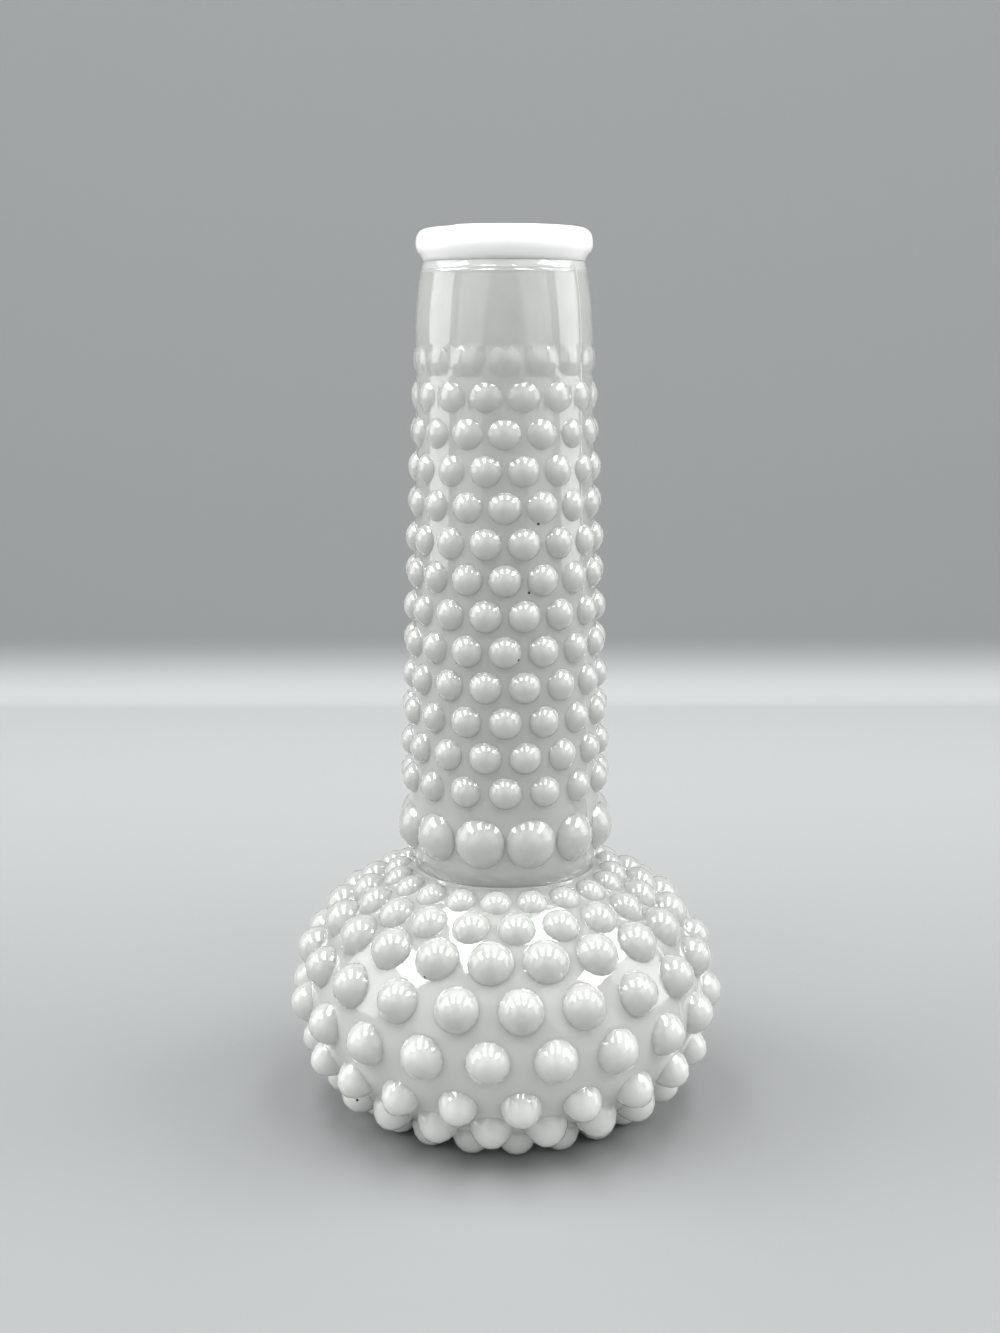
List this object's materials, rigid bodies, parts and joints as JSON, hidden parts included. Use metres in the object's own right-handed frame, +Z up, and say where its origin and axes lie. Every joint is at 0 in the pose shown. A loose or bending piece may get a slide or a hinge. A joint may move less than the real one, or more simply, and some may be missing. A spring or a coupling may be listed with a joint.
{
  "type": "hobnail bud vase",
  "caption": "Milk glass bud vase: a tall tapering neck and a flattened round bulb, both covered in staggered rows of hobs, with a smooth band and a thick rolled lip.",
  "frame": {"origin": "centre of the standing ring, on the surface that the vase stands on", "axes": "+Z up along the axis of the vase, -Y towards the front seen in the picture"},
  "size_m": [0.1006, 0.1006, 0.2005],
  "materials": {
    "milk_glass": "translucent white opaline glass, moulded, with a fire-bright gloss",
    "lip_glass": "denser white glass of the rolled lip, fire-polished gloss"
  },
  "bodies": {
    "root": {"base": "milk_glass", "heel_wall": "milk_glass", "belly_wall": "milk_glass", "shoulder_wall": "milk_glass", "neck_root": "milk_glass", "neck_wall": "milk_glass", "neck_band": "milk_glass", "lip_ring": "lip_glass"}
  },
  "joints": []
}
